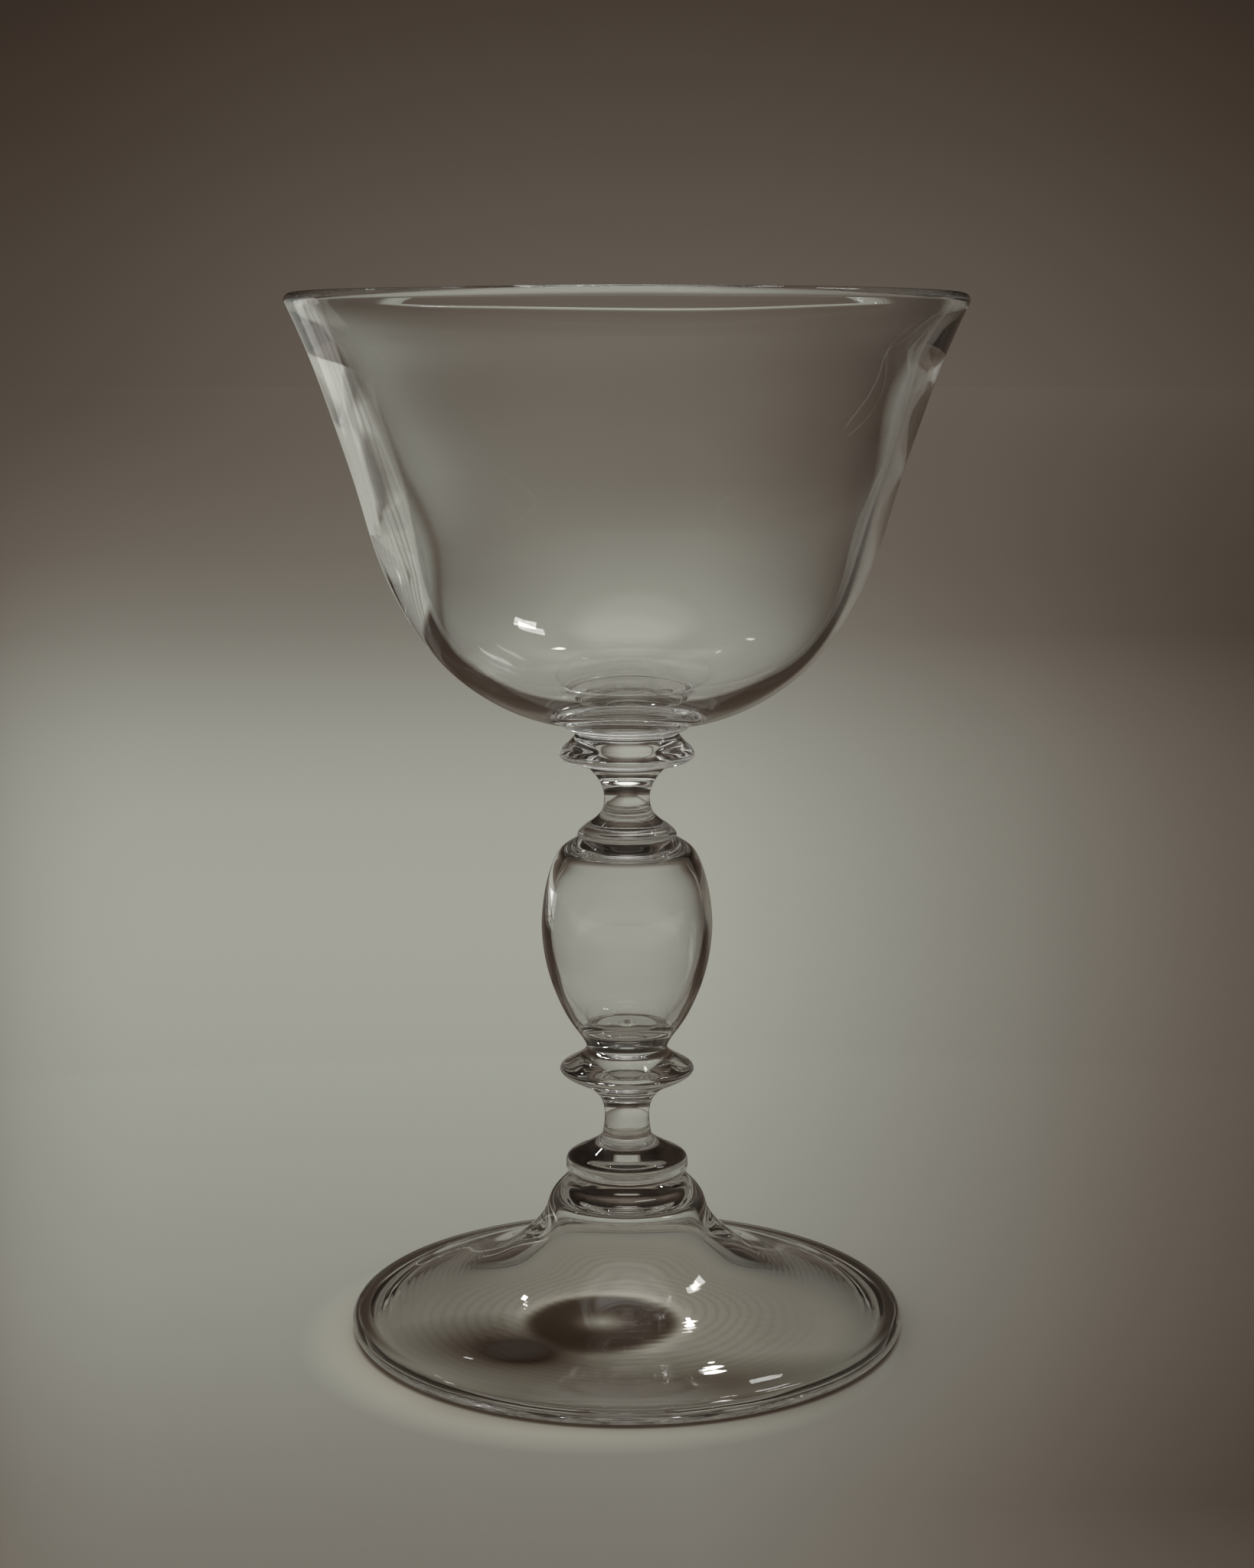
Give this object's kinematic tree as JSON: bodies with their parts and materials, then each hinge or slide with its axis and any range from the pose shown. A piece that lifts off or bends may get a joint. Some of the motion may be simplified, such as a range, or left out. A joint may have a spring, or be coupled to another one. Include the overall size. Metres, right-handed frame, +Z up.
{
  "type": "aperitif glass",
  "caption": "Small clear glass goblet: a flared bowl on a stem of slim necks, flattened discs and a hollow pear shaped knop, over a hollow trumpet foot with a thick rounded edge.",
  "frame": {"origin": "centre of the ring that the foot rests on, at the level of the table", "axes": "+Z up along the axis of the glass. The glass is round, so +X and +Y are any two level directions."},
  "size_m": [0.0902, 0.0902, 0.142],
  "materials": {
    "clear_glass": "clear colourless blown glass, fire polished, with faint tool marks on the foot"
  },
  "bodies": {
    "root": {"foot": "clear_glass", "foot_bead": "clear_glass", "lower_neck": "clear_glass", "lower_merese": "clear_glass", "hollow_knop": "clear_glass", "knop_collar": "clear_glass", "upper_neck": "clear_glass", "upper_merese": "clear_glass", "bowl_collar": "clear_glass", "bowl": "clear_glass"}
  },
  "joints": []
}
